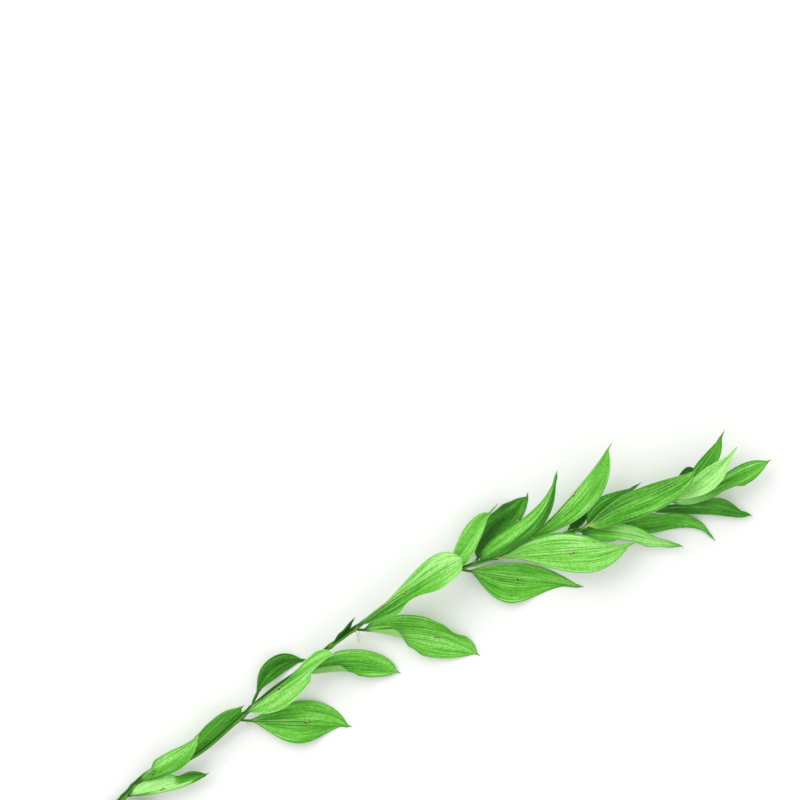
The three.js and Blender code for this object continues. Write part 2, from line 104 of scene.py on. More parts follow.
# Where each leaf leaves the stem, and its form, as in the CAD:
#   at, heading, length, width, bow, sway, mid, tip, roll, left, right, crease, opening, fold,
#   shape, shape_right, lean, stalk, spine, wave, waves, phase
# where the left half's crease is always the one in LEAF,
# and for the looks only:
#   tone        from dark (0) to pale (1), one value or values at even steps from base to tip: the
#               leaf's own tone with painted shade where it lies in shade or turns from the lamp,
#               and painted light where it faces the lamp
#   shade_and_tone_right  the same for the right half where it differs
#   bract       share of the length at which a bract sits on the midrib
#   rib         how dark the midrib is drawn, from 0 to 1
#   pale_stalk  1 where the stalk is yellowish
#   rim         1 where the margin has a painted highlight as it catches the light, 0 where it has
#               painted shade, darker than the blade
LEAF = dict(
    bow=0, sway=0, roll=0, left=12, right=12, crease=(0, 1), opening=(0.04, 0.29), fold=8,
    shape=(1.15, 1.05), shape_right=None, lean=0, stalk=5, spine=3, wave=0.6, waves=2, phase=0,
    shade_and_tone=0.5, shade_and_tone_right=None, bract=None, rib=0.5, pale_stalk=0, lit_rim=0,
)
LEAVES = [
    dict(at=64, heading=-20, length=60, width=22, bow=2, mid=3, tip=-2, shade_and_tone=0.5, bract=0.5),
    dict(at=92, heading=-12, length=60.5, width=14, bow=-1.8, mid=11, tip=8,
         roll=[-10, -12, -15, -15, -10, 25, 25], left=[20, 20, 20, 20, 100, 0, 0], right=20,
         shape=(0.6, 0.65), shape_right=(0.9, 0.65), lean=0.57,
         shade_and_tone=[0.95, 0.95, 1, 1, 1, 1, 1, 0.95, 0.45, 0.4, 0.4, 0.4, 0.4],
         shade_and_tone_right=[0.4, 0.35, 0.4, 0.5, 0.8, 1, 1, 1, 1, 1, 0.45, 0.4, 0.4], bract=0.42),
    dict(at=101, heading=12, length=60, width=14.7, bow=-3.5, sway=1.5, mid=18, tip=22,
         roll=[-10, -20, -10], left=[140, 140, 140, -10, -10, -10, -10, -10], right=-50,
         shape=(0.7, 1), shape_right=(0.8, 0.8), lean=0.05, stalk=8, shade_and_tone=[0.75, 0.8, 0.75],
         shade_and_tone_right=[0.5, 0.55, 0.8], bract=0.27, rib=0.9),
    dict(at=142, heading=15.5, length=53.8, width=17, bow=2, mid=7, tip=12, roll=[30, 35, 20],
         shape_right=(0.9, 0.6), lean=0.04, shade_and_tone=0.53, shade_and_tone_right=0.44),
    dict(at=189, heading=7, length=78, width=21, bow=1.4, mid=22, tip=25, roll=[-20, -25, 5],
         left=[-40, -40, -30, -20, 0], fold=-15,
         right=[-15, -15, -15, -15, -15, -15, -140, -150, -150], shape=(3, 0.6),
         shape_right=(0.9, 1.5), lean=-0.22, shade_and_tone=[0.3, 0.4, 0.5, 0.65, 0.8],
         shade_and_tone_right=[0.65, 0.75, 0.9], bract=0.4, lit_rim=1),
    dict(at=237, heading=-29.4, length=69, width=21.1, bow=7, mid=8, tip=1, roll=[0, 5, 5],
         left=-5, right=[165, 165, 165, 165, 90, 50, 10, 5, 0], crease=(0.47, 0.15),
         opening=(0.06, 0.12), shape=(0.9, 0.6), shape_right=(0.3, 0.55), lean=-0.12,
         shade_and_tone=[0.48, 0.58, 0.66]),
    dict(at=197, heading=12.5, length=50, width=15, bow=8, mid=4, tip=-2, roll=[20, 15, 0],
         lean=0.5, stalk=9, shade_and_tone=0.3, rib=0.1),
    dict(at=184.5, heading=-31.5, length=78, width=29.8, bow=0.9, sway=-0.7, mid=3, tip=-3,
         roll=[0, -5, -5], fold=5, shape=(1.1, 0.8), shape_right=(1.75, 1.75), stalk=8,
         shade_and_tone=0.56, shade_and_tone_right=0.6, bract=0.59, rib=1),
    dict(at=285, heading=5.8, length=88, width=24, bow=2.5, mid=27, tip=23, roll=[15, 5, -10],
         left=-25, right=[-10, 10, 107, 40, -15], shape=(2.4, 0.55), shape_right=(0.7, 0.42),
         lean=-0.08, shade_and_tone=[0.45, 0.74, 0.93], shade_and_tone_right=[0.42, 0.53, 0.84], bract=0.45, rib=0.9,
         lit_rim=0.5),
    dict(at=283, heading=-40, length=88, width=28.5, bow=6, sway=-1.6, mid=5, tip=-2,
         roll=[20, 5, 0], left=[5, 5, 5, 5, 20, 50, 85, 40, 5],
         right=[165, 165, 155, 50, 10, 10, 10, 10], crease=(0.2, 0.15), opening=(0.08, 0.14),
         shape=(0.45, 0.58), shape_right=(1.2, 0.85), lean=-0.05, stalk=8, shade_and_tone=0.66,
         shade_and_tone_right=0.74, bract=0.625, rib=0.9),
    dict(at=264, heading=22, length=26, width=10, mid=14, tip=16, roll=[60, 65, 60], stalk=3,
         shade_and_tone=0.12),
    dict(at=356.8, heading=26.8, length=58.5, width=16.2, bow=1.2, mid=17, tip=22,
         roll=[-10, -20, -10], left=-10, right=10, shape=(0.8, 0.5), shape_right=(0.6, 1.2),
         lean=-0.06, spine=9, shade_and_tone=0.58, shade_and_tone_right=0.68, rib=0.15, lit_rim=0.6),
    dict(at=376, heading=25, length=60.4, width=31, bow=-4, sway=3, mid=5, tip=-2,
         roll=[10, 12, 0], right=[0, -40, -80, -80], shape=(0.6, 0.55), shape_right=(1, 3),
         lean=0.15, shade_and_tone=0.32, bract=0.65),
    dict(at=376, heading=21.2, length=84, width=16, bow=-11, sway=1.2, mid=28, tip=30,
         roll=[-15, -20, -20], left=10, right=-70, fold=-5, shape=(0.45, 1.1),
         shape_right=(1.2, 1.2), lean=0.12, shade_and_tone=[0.4, 0.62, 0.7, 0.6], shade_and_tone_right=0.3, rib=0.2),
    dict(at=412, heading=21.8, length=90.3, width=18.4, bow=-3.5, mid=23, tip=28, spine=5,
         roll=[-12, -14, -14], left=-140, right=-25, fold=-10, shape_right=(1.15, 0.85),
         lean=-0.66, shade_and_tone=0.63, shade_and_tone_right=0.66, bract=0.51, pale_stalk=1, lit_rim=0.5),
    dict(at=389, heading=-21.9, length=96, width=30, bow=-2, mid=20, tip=16, roll=[0, 0, 20],
         left=[12, 12, 12, 12, 12, 12, -75, -160, -160], shape=(1.3, 1.7), shape_right=(2, 1),
         lean=0.02, shade_and_tone=0.8, shade_and_tone_right=0.78, bract=0.54, rib=0.6, pale_stalk=1),
    dict(at=365, heading=-36, length=86, width=28.5, bow=-1, mid=1, tip=-3, fold=5, lean=-0.22,
         shape=(1, 1), shape_right=(1.6, 2.65), stalk=7, shade_and_tone=0.67, shade_and_tone_right=0.58, bract=0.47,
         rib=0.9),
    dict(at=452, heading=11, length=50.5, width=19, bow=1, mid=16, tip=16, roll=10,
         shape=(0.7, 1.4), lean=0.05, spine=5, shade_and_tone=[0.38, 0.47, 0.48]),
    dict(at=452, heading=0, length=85, width=19.3, bow=2, sway=1, mid=29, tip=31, roll=5,
         left=-25, right=-25, shape=(1, 1), shape_right=(0.45, 0.42), lean=-0.38,
         shade_and_tone=[0.3, 0.4, 0.68], shade_and_tone_right=[0.42, 0.46, 0.62], rib=1, pale_stalk=1, lit_rim=0.4),
    dict(at=446, heading=-35.9, length=75.6, width=15, bow=3, sway=0.5, mid=12, tip=6,
         roll=[-10, -10, 0, 50, 30], right=[12, 12, 12, 20, 75, 85, 95, 65, 12, 12, 12],
         shape=(0.7, 1), shape_right=(0.35, 0.6), lean=-0.04, shade_and_tone=[0.15, 0.5, 0.9, 0.9, 0.72]),
    dict(at=466, heading=-37, length=78, width=15.4, bow=9.6, sway=-3.4, mid=5, tip=1,
         roll=[20, 35, -40], left=[12, 12, 12, 12, 12, 50, 40, 50, 75, 12, 12],
         shape=(0.9, 0.75), shape_right=(0.9, 1.3), lean=-0.27,
         shade_and_tone=[0.3, 0.42, 0.5, 0.52, 0.52, 0.5, 0.55, 0.62, 0.62],
         shade_and_tone_right=[0.3, 0.44, 0.52, 0.52, 0.5, 0.55, 0.68, 0.62, 0.62], rib=0.2),
    dict(at=495, heading=-31, length=74, width=14.5, bow=5, mid=10, tip=3, roll=[20, 25, 10],
         shape=(4, 2.3), shape_right=(0.35, 0.38), lean=0.17, shade_and_tone=[0.1, 0.2, 0.34, 0.4],
         rib=0.2),
    dict(at=510, heading=-5.2, length=77, width=16.5, bow=-3, mid=13, tip=12,
         right=[12, 50, 60, 64, 85, 112, 105, 45, 10, 10, 10], shape=(2.4, 0.85),
         shape_right=(0.7, 0.75), lean=-0.09, stalk=4, shade_and_tone=[0.64, 0.58, 0.6],
         shade_and_tone_right=[0.84, 0.9, 0.86, 0.7, 0.58, 0.6, 0.6], rib=0.1),
    dict(at=508, heading=10.9, length=62, width=15.2, bow=-4.5, mid=23, tip=27,
         roll=[-10, -15, -10], shape=(1.15, 1.3), shape_right=(1.5, 1.5), lean=-0.16, stalk=7,
         shade_and_tone=0.86, shade_and_tone_right=0.98, rib=0.15, lit_rim=1),
    dict(at=509, heading=23.8, length=64, width=11.5, bow=-4, mid=17, tip=22, roll=[-10, -10, 0],
         shape_right=(1.15, 0.8), lean=-0.29, stalk=7, spine=5.5, shade_and_tone=0.45, rib=0.2),
    dict(at=500, heading=14.5, length=41.5, width=15, bow=1.5, mid=15, tip=16, roll=10,
         shape=(3.5, 0.55), shape_right=(1.5, 0.5), lean=-0.4, shade_and_tone=0.15),
    dict(at=441, heading=24, length=32, width=10, mid=11, tip=12, roll=10, shape=(0.8, 1),
         shape_right=(0.45, 1), stalk=4, shade_and_tone=0.1, rib=0.1),
]

# Small parts.
BRACT_LENGTH = 3.6
BRACT_WIDTH = 1.7
BRACT_HEIGHT = 0.7
BUD_LENGTH = 1.9
BUD_WIDTH = 1.3
BUD_HEIGHT = 1
BUD_BACK = 0.4  # the bud sits this far behind the bract's root
BUD_ASIDE = 0.5
SCALE_LENGTH = 4.5
SCALE_WIDTH = 1.6
SCALE_HEIGHT = 0.5
SCALE_BACK = 2  # the scale starts this far before the leaf's root
SCALE_DEPTH = 0.85  # share of the stem's radius at which the scale sits
SCALE_RISE = 0.6  # how much the scale turns up from the leaf's side of the stem
# The form that bracts, buds and scales share, as a grid of cells with shares of their size.
BOAT_CELLS = 8
BOAT_ROUNDNESS = 0.7
BOAT_TAPER = 0.35
BOAT_TIP = 0.08
BOAT_ARCH = 0.75
BOAT_LIFT = 0.05
BOAT_SINK = 0.15
THREAD_RADIUS = 0.2
THREAD_SIDES = 6
THREAD_STEPS = 14
THREAD_TAPER = 0.6
THREAD_FALL = 1.5  # above 1, the thread drops soon and then runs along the surface
THREAD_HEIGHT = 0.3
THREAD_TONE = 0.5  # how far the thread's end goes towards the scale's tip colour
# Hair-like threads at nodes: place along X, heading in degrees, length and bend to the left.
THREADS = [
    [189, -100, 9, 3], [283, -75, 10, -4], [287, -117, 8, 1], [365, -60, 8, 2], [452, 60, 6, 1],
]

# Where along and across a leaf its colours change, as shares of the length or of a half.
USUAL_LENGTH = 60  # streaks are drawn out as on a leaf of this length
TONE_BLEND = 0.03  # the halves' tones meet over this share beside the midrib
RIB_END = 0.8  # the drawn midrib ends here on a leaf without a bract
RIB_FADE = (0.02, 0.12)  # it fades from this far before its end to this far past it
STALK_FADE = (0.8, 0.06)  # from this share of the stalk to this share of the leaf past it
TIP_FADE_AT = (0.75, 0.3)  # its colour starts and is full at these shares of the tip's thread
SEED_STEP = 3.7  # sets each leaf's noise apart from the next one's

# Colours, as the 0 to 255 values that a screen shows. A ramp is a list of places and colours.
# The blade's greens from dark to pale; the tone that picks among them holds painted shade and
# light.
UPPER_GREENS = [
    (0, (30, 84, 8)), (0.25, (56, 134, 22)), (0.5, (88, 186, 42)), (0.75, (128, 214, 76)),
    (1, (190, 250, 158)),
]
UNDER_GREENS = [(0, (84, 152, 50)), (1, (176, 228, 136))]
RIB_DARK = (28, 84, 16)
# A painted highlight drawn beside the midrib.
RIB_HIGHLIGHT = (176, 226, 130)
# The margin's line: painted shade, or a painted highlight where the margin catches the light.
MARGIN_SHADE = (48, 142, 14)
MARGIN_HIGHLIGHT = (206, 244, 168)
STALK_GREEN = (42, 104, 18)
STALK_YELLOW = (164, 192, 92)
TIP_GREEN = (104, 164, 58)
STEM_GREENS = [(0.25, (16, 60, 2)), (0.5, (40, 110, 8)), (0.85, (92, 168, 24))]
CUT_FACE = (206, 208, 150)
BRACT_COLOURS = [(0.35, (176, 198, 104)), (0.8, (58, 78, 26))]
SCALE_COLOURS = [(0.35, (76, 128, 36)), (0.8, (118, 146, 66))]
SCREEN_GAMMA = 2.2

# Leaf material. Streaks are noise drawn out along the leaf: how often they change along and
# across it, how finely they are broken up, and how much they change the tone.
FINE_STREAKS = dict(along=1.4, across=19, detail=3, amount=1.6)
# The broad streaks: random tone that also stands in for painted sheen and painted shade.
BROAD_TONE_AND_SHEEN = dict(along=1.6, across=2.4, detail=2, amount=0.75)
BROAD_SEED = 9  # sets the broad streaks' noise apart from the fine ones'
STREAK_ROUGHNESS = 0.6
MOTTLE = dict(scale=560, amount=0.45)
VEIN_LINES = dict(count=2 * VEINS, width=0.2, amount=0.3)
VEINLET_LINES = dict(count=4 * VEINS, width=0.25, amount=0.12)
UNDER_SHARE = 0.85  # how far the underside goes towards its own greens
# Lines beside the midrib and the margin: distances in millimetres where they end and are full,
# and their strength. The paler line beside the midrib is a painted highlight, and the margin's
# line is painted shade or a painted highlight.
RIB_LINE = (0.42, 0.16, 0.85)
# The paler line beside the midrib is a painted highlight.
RIB_SIDE = 0.7  # a paler line runs this far beside the midrib
RIB_HIGHLIGHT_LINE = (0.35, 0.1, 0.3)
PAINTED_MARGIN_LINE = (0.9, 0.2, 0.6)
LEAF_BUMP = (0.5, 0.0004)  # strength, and height in metres
LEAF_BUMP_VEINS = 0.35
LEAF_ROUGHNESS = 0.5
LEAF_SPECULAR = 0.35

# Other materials.
STEM_GRAIN_ALONG = 0.06
STEM_GRAIN_AROUND = 2.5
STEM_GRAIN = dict(scale=1.6, detail=4, rough=0.65)
STEM_RIDGE_TONE = 0.25
STEM_BUMP = (0.4, 0.0003)
STEM_ROUGHNESS = 0.65
STEM_SPECULAR = 0.3
CUT_EDGE = (0.6, 0.95)  # share of the cut end's last step where its face begins and is full
SPECK_SCALE = 900
SPECK_AMOUNT = 0.4
BRACT_ROUGHNESS = 0.65
FLOOR_COLOUR = (0.93, 0.93, 0.92, 1)
FLOOR_ROUGHNESS = 0.9

# The photograph: straight down from above.
CAMERA_HEIGHT = 2500
VIEW_WIDTH = 544
VIEW_CENTRE = (382.9, 152.6)
VIEW_TURN = 27.65  # degrees from the stem's line to the photograph's horizontal
SENSOR = 36
CAMERA_REACH = 20  # metres
FLOOR_SIZE = 6  # metres
WORLD_LIGHT = 0.95
# The lamp: its place to the photograph's right and up from the middle of the view and its height,
# all in millimetres, its size in metres and its power in watts.
KEY_LAMP = dict(right=-1300, up=1100, height=1900, size=1.6, power=22)


def smooth(low, high, x):
    """Rises smoothly from 0 at low to 1 at high."""
    t = np.clip((x - low) / (high - low), 0, 1)
    return t * t * (3 - 2 * t)


def unit(vectors):
    """Vectors of length 1 in the last axis."""
    return vectors / np.linalg.norm(vectors, axis=-1, keepdims=True)


def stem_at(x):
    """The stem's centre at a place along X: a smooth curve through the route's points."""
    last = len(STEM_ROUTE) - 2
    i = next((k for k in range(last) if STEM_ROUTE[k + 1][0] > x), last)
    picks = [min(max(k, 0), last + 1) for k in (i - 1, i, i + 1, i + 2)]
    before, start, end, after = (np.array(STEM_ROUTE[k], float) for k in picks)
    span = end[0] - start[0]
    t = (x - start[0]) / span
    into = (end - before) * span / (end[0] - before[0])
    out = (after - start) * span / (after[0] - start[0])
    return (
        (2 * t**3 - 3 * t**2 + 1) * start
        + (t**3 - 2 * t**2 + t) * into
        + (3 * t**2 - 2 * t**3) * end
        + (t**3 - t**2) * out
    )


def ease(u, values):
    """One value, or an easing through values at even steps from base to tip."""
    if np.isscalar(values):
        return np.full_like(u, values)
    stops = np.array(values, float)
    place = np.clip(u, 0, 1) * (len(stops) - 1)
    i = np.minimum(place.astype(int), len(stops) - 2)
    return stops[i] + (stops[i + 1] - stops[i]) * smooth(0, 1, place - i)


def parabola(u, a, m, b):
    """A parabola through a at 0, m at a half and b at 1."""
    return a * (1 - u) * (1 - 2 * u) + m * 4 * u * (1 - u) + b * u * (2 * u - 1)


def rest_on(z):
    """Lays a height on the surface: what would sink into it bends flat instead."""
    depth = z - REST_HEIGHT
    bent = REST_HEIGHT + (np.maximum(depth, -FLATTEN) + FLATTEN) ** 2 / (4 * FLATTEN)
    return np.where(depth >= FLATTEN, z, bent)


def half_width(leaf, u, side):
    """Half the width of the blade on one side, from the stalk to the thread at the tip."""
    stalk = leaf["stalk"] / leaf["length"]
    spine = leaf["spine"] / leaf["length"]
    v = np.clip((u - stalk) / (1 - stalk - spine), 0, 1)
    rise, fall = leaf["shape_right"] if side < 0 and leaf["shape_right"] else leaf["shape"]
    peak = rise / (rise + fall)
    most = peak**rise * (1 - peak) ** fall
    half = leaf["width"] / 2 * (1 + side * leaf["lean"])
    cone = TIP_HALF_WIDTH + TIP_CONE * np.clip((1 - u) / spine, 0, TIP_CONE_REACH) ** TIP_CONE_CURVE
    least = np.where(u < stalk + STALK_TAPER, STALK_HALF_WIDTH, cone)
    return np.maximum(least, half * v**rise * (1 - v) ** fall / most)


def midrib_at(leaf, u):
    """The points of the midrib at the shares u of its length."""
    base = stem_at(leaf["at"])
    heading = math.radians(leaf["heading"])
    along = np.array([math.cos(heading), math.sin(heading), 0])
    across = np.array([-math.sin(heading), math.cos(heading), 0])
    offset = leaf["bow"] * 4 * u * (1 - u) + leaf["sway"] * np.sin(2 * np.pi * u)
    points = base + (u * leaf["length"])[..., None] * along + offset[..., None] * across
    points[..., 2] = parabola(u, base[2], leaf["mid"], leaf["tip"])
    return points


def section(reach, curl, flat, bend):
    """How far out and up a half goes, as shares of its width: flat, then bent, then straight on."""
    bent = np.clip(reach - flat, 0, bend)
    past = np.maximum(0, reach - flat - bend)
    angle = curl * bent / bend
    out = np.minimum(reach, flat) + bend * np.sin(angle) / curl + past * np.cos(curl)
    return out, bend * (1 - np.cos(angle)) / curl + past * np.sin(curl)


def blade_points(leaf, u, v):
    """The blade's middle surface: u from node to tip, v from the right margin to the left."""
    centre = midrib_at(leaf, u)
    tangent = unit(midrib_at(leaf, u + SMALL_STEP) - midrib_at(leaf, u - SMALL_STEP))
    level = unit(np.cross([0, 0, 1], tangent))
    roll = np.radians(ease(u, leaf["roll"]))[..., None]
    left = level * np.cos(roll) + np.cross(tangent, level) * np.sin(roll)
    up = np.cross(tangent, left)
    side = np.where(v < 0, -1, 1)
    reach = np.abs(v)
    start, end = leaf["opening"]
    opening = np.clip((u - start) / (end - start), 0, 1)
    flat = np.where(side > 0, LEAF["crease"][0], leaf["crease"][0])
    bend = np.where(side > 0, LEAF["crease"][1], leaf["crease"][1])
    curl_degrees = np.where(side > 0, ease(u, leaf["left"]), ease(u, leaf["right"]))
    curl = np.radians(curl_degrees) * opening
    curl = np.where(curl == 0, LEAST_CURL, curl)
    fold = math.radians(leaf["fold"]) * opening
    half = np.where(side > 0, half_width(leaf, u, 1), half_width(leaf, u, -1))
    out, rise = section(reach, curl, flat, bend)
    turns = 2 * np.pi * (leaf["waves"] * u + leaf["phase"]) + np.where(side > 0, 0, RIGHT_PHASE)
    ripple = leaf["wave"] * reach**2 * np.sin(turns) * np.sin(np.pi * u)
    aside = side * half * (out * np.cos(fold) - rise * np.sin(fold))
    lift = half * (out * np.sin(fold) + rise * np.cos(fold)) + ripple
    points = centre + aside[..., None] * left + lift[..., None] * up
    points[..., 2] = rest_on(points[..., 2])
    return points


def leaf_grid():
    """The shares u and v of every grid point, rows from base to tip, columns right to left."""
    u = np.linspace(0, 1, ROWS + 1)
    t = np.linspace(-1, 1, COLUMNS + 1)
    v = np.sign(t) * np.abs(t) ** COLUMN_CROWDING
    return np.meshgrid(u, v, indexing="ij")


def surface_normals(points):
    """The upward normals of a grid of points."""
    return unit(np.cross(np.gradient(points, axis=0), np.gradient(points, axis=1)))


def cross_waves(u, v, waves, start_u, start_v):
    """Waves across the leaf whose height waves along it."""
    across, along = waves
    return np.sin(across * v + start_v) * np.sin(along * u + start_u)


def leaf_faces(leaf, seed):
    """A leaf's upper and lower faces as two grids, with its midrib, veins and pleats in relief."""
    u, v = leaf_grid()
    draw = np.random.default_rng(seed)
    middle = blade_points(leaf, u, v)
    normal = surface_normals(middle)
    stalk = leaf["stalk"] / leaf["length"]
    half = np.where(v > 0, half_width(leaf, u, 1), half_width(leaf, u, -1))
    thinning = smooth(stalk, stalk + THINNING, u)
    blade = thinning * smooth(0, TIP_FADE, 1 - u)
    thickness = STALK_THICKNESS + (BLADE_THICKNESS - STALK_THICKNESS) * thinning
    thickness = thickness * (1 - MARGIN_THINNING * np.abs(v) ** MARGIN_SHARPNESS * thinning)
    rib = RIB_HEIGHT * (1 - u) * blade * np.exp(-((v * half / RIB_WIDTH) ** 2))
    waves = np.cos(2 * np.pi * VEINS * np.abs(v)) * smooth(0, VEIN_START, np.abs(v))
    veins = VEIN_RELIEF * blade * waves
    first, second, third = draw.uniform(0, 2 * np.pi, 3)
    pleat = PLEAT * blade * cross_waves(u, v, PLEAT_WAVES, second, first)
    pleat = pleat + PLEAT / 2 * blade * cross_waves(u, v, FINE_PLEAT_WAVES, first, third)
    middle = middle + pleat[..., None] * normal
    upper = middle + (thickness / 2 + rib + veins)[..., None] * normal
    lower = middle - (thickness / 2 + UNDER_RIB * rib - veins)[..., None] * normal
    upper[..., 2] = np.maximum(upper[..., 2], LEAST_HEIGHT)
    lower[..., 2] = np.maximum(lower[..., 2], 0)
    return upper, lower


def slab_faces(rows, columns):
    """Quads of a closed slab between an upper and a lower grid of points."""
    index = np.arange((rows + 1) * (columns + 1)).reshape(rows + 1, columns + 1)
    under = index + index.size
    a, b, c, d = index[:-1, :-1], index[1:, :-1], index[1:, 1:], index[:-1, 1:]
    top = np.stack([a, b, c, d], -1).reshape(-1, 4)
    bottom = np.stack([a, d, c, b], -1).reshape(-1, 4) + index.size
    rims = []
    for edge, below, flip in (
        (index[:, 0], under[:, 0], False),
        (index[:, -1], under[:, -1], True),
        (index[0, :], under[0, :], True),
        (index[-1, :], under[-1, :], False),
    ):
        quads = np.stack([edge[:-1], below[:-1], below[1:], edge[1:]], -1)
        rims.append(quads[:, ::-1] if flip else quads)
    return np.concatenate([top, bottom, *rims])


def make_object(name, points, faces, material, attributes, crease_angle=LEAF_CREASE_ANGLE):
    """A smooth-shaded mesh object in metres, shifted onto the frame, with values at its points."""
    mesh = bpy.data.meshes.new(name)
    mesh.from_pydata(((points + shift) * MM).tolist(), [], faces)
    for key, values in attributes.items():
        layer = mesh.attributes.new(key, "FLOAT", "POINT")
        layer.data.foreach_set("value", np.ascontiguousarray(values, np.float32).ravel())
    mesh.shade_smooth()
    mesh.set_sharp_from_angle(angle=math.radians(crease_angle))
    mesh.materials.append(material)
    made = bpy.data.objects.new(name, mesh)
    bpy.context.collection.objects.link(made)
    return made


def leaf_values(leaf, seed):
    """What the leaf material reads at each point of the two grids."""
    u, v = leaf_grid()
    half = np.where(v > 0, half_width(leaf, u, 1), half_width(leaf, u, -1))
    stalk = leaf["stalk"] / leaf["length"]
    spine = leaf["spine"] / leaf["length"]
    # The tones hold painted shade and painted light as well as the leaf's own tone.
    right = leaf["shade_and_tone"] if leaf["shade_and_tone_right"] is None else leaf["shade_and_tone_right"]
    split = smooth(-TONE_BLEND, TONE_BLEND, v)
    shade_and_tone = ease(u, leaf["shade_and_tone"]) * split + ease(u, right) * (1 - split)
    rib_end = leaf["bract"] or RIB_END
    values = {
        "along": u * leaf["length"] / USUAL_LENGTH,
        "across": v,
        "offset": v * half,
        "edge": half * (1 - np.abs(v)),
        "shade_and_tone": shade_and_tone,
        "rib": leaf["rib"] * (1 - smooth(rib_end - RIB_FADE[0], rib_end + RIB_FADE[1], u)),
        "stalk": 1 - smooth(stalk * STALK_FADE[0], stalk + STALK_FADE[1], u),
        "pale": np.full_like(u, leaf["pale_stalk"]),
        "lit_rim": np.full_like(u, leaf["lit_rim"]),
        "dry": smooth(1 - spine * TIP_FADE_AT[0], 1 - spine * TIP_FADE_AT[1], u),
        "seed": np.full_like(u, seed * SEED_STEP),
    }
    both = {key: np.concatenate([grid.ravel(), grid.ravel()]) for key, grid in values.items()}
    both["under"] = np.repeat([0.0, 1.0], u.size)
    return both


def make_leaf(number, leaf, material):
    """One leaf as a closed piece of its own."""
    upper, lower = leaf_faces(leaf, number)
    points = np.concatenate([upper.reshape(-1, 3), lower.reshape(-1, 3)])
    faces = slab_faces(ROWS, COLUMNS).tolist()
    values = leaf_values(leaf, number)
    return make_object(f"leaf_{number + 1:02d}", points, faces, material, values)


def stem_radius(x):
    """The stem's radius at a place along X, thicker at each node."""
    taper = STEM_RADIUS_CUT + (STEM_RADIUS_TIP - STEM_RADIUS_CUT) * x / STEM_LENGTH_X
    nearest = min(abs(leaf["at"] - x) for leaf in leaves)
    return taper * (1 + NODE_SWELL * float(smooth(0, 1, 1 - nearest / NODE_REACH)))


def stem_ring(x):
    """The stem's outline at a place along X, and how far each of its points lies on a ridge."""
    angle = np.linspace(0, 2 * np.pi, STEM_SIDES, endpoint=False)
    ridge = np.cos(STEM_RIDGES * angle)
    angle = (angle + FIRST_RIDGE)[:, None]
    tangent = unit(stem_at(x + 0.5) - stem_at(x - 0.5))
    left = unit(np.cross([0, 0, 1], tangent))
    up = np.cross(tangent, left)
    radius = (stem_radius(x) * (1 - STEM_RIDGE + STEM_RIDGE * ridge))[:, None]
    ring = stem_at(x) + radius * (np.cos(angle) * left + np.sin(angle) * up)
    if x == 0:
        ring = ring + CUT_SLANT * radius * np.sin(angle) * tangent
    ring[:, 2] = np.maximum(ring[:, 2], 0)
    return ring, ridge


def make_stem(material):
    """The stem: a ridged tube with a slanted cut end."""
    stations = np.linspace(0, STEM_LENGTH_X, round(STEM_LENGTH_X / STEM_STEP) + 1)
    rings, ridges = zip(*(stem_ring(x) for x in stations))
    points = np.concatenate(rings)
    sides = np.arange(STEM_SIDES)
    faces = []
    following = (sides + 1) % STEM_SIDES
    for k in range(len(stations) - 1):
        near, far = k * STEM_SIDES, (k + 1) * STEM_SIDES
        quads = [near + sides, near + following, far + following, far + sides]
        faces += np.stack(quads, -1).tolist()
    faces.append(sides[::-1].tolist())
    faces.append((sides + (len(stations) - 1) * STEM_SIDES).tolist())
    cut = np.zeros(len(points))
    cut[:STEM_SIDES] = 1
    place = np.repeat(stations, STEM_SIDES)
    values = {"ridge": np.concatenate(ridges), "cut": cut, "place": place}
    return make_object("stem", points, faces, material, values, STEM_CREASE_ANGLE)


def boat(origin, forward, left, up, length, width, height):
    """A small pointed, domed scale as points, faces and a value from root to tip."""
    s, t = np.meshgrid(
        np.linspace(0, 1, BOAT_CELLS + 1), np.linspace(-1, 1, BOAT_CELLS + 1), indexing="ij"
    )
    fullness = np.sin(np.pi * np.clip(s, 0, 1)) ** BOAT_ROUNDNESS * (1 - BOAT_TAPER * s)
    half = width / 2 * np.maximum(BOAT_TIP, fullness)
    rise = height * np.sin(np.pi * np.minimum(s * BOAT_ARCH, 1)) * (1 - t**2) + BOAT_LIFT
    upper = (
        origin
        + (s * length)[..., None] * forward
        + (t * half)[..., None] * left
        + rise[..., None] * up
    )
    lower = upper - (rise + BOAT_SINK)[..., None] * up
    points = np.concatenate([upper.reshape(-1, 3), lower.reshape(-1, 3)])
    return points, slab_faces(BOAT_CELLS, BOAT_CELLS), np.tile(s.ravel(), 2)


def leaf_frame(leaf, u):
    """The upper face's point, forward, left and up directions on the midrib at u."""
    near = u + np.array([-SMALL_STEP, 0, SMALL_STEP])
    centre = blade_points(leaf, near, np.zeros(3))
    beside = blade_points(leaf, near, np.full(3, BESIDE))
    forward = unit(centre[2] - centre[0])
    left = unit(beside[1] - centre[1])
    up = unit(np.cross(forward, left))
    return centre[1] + up * (BLADE_THICKNESS / 2), forward, np.cross(up, forward), up


def join_parts(parts):
    """One set of points, faces and values from several."""
    points, faces, values, count = [], [], [], 0
    for part_points, part_faces, part_values in parts:
        points.append(part_points)
        faces += (np.asarray(part_faces) + count).tolist()
        values.append(part_values)
        count += len(part_points)
    return np.concatenate(points), faces, np.concatenate(values)


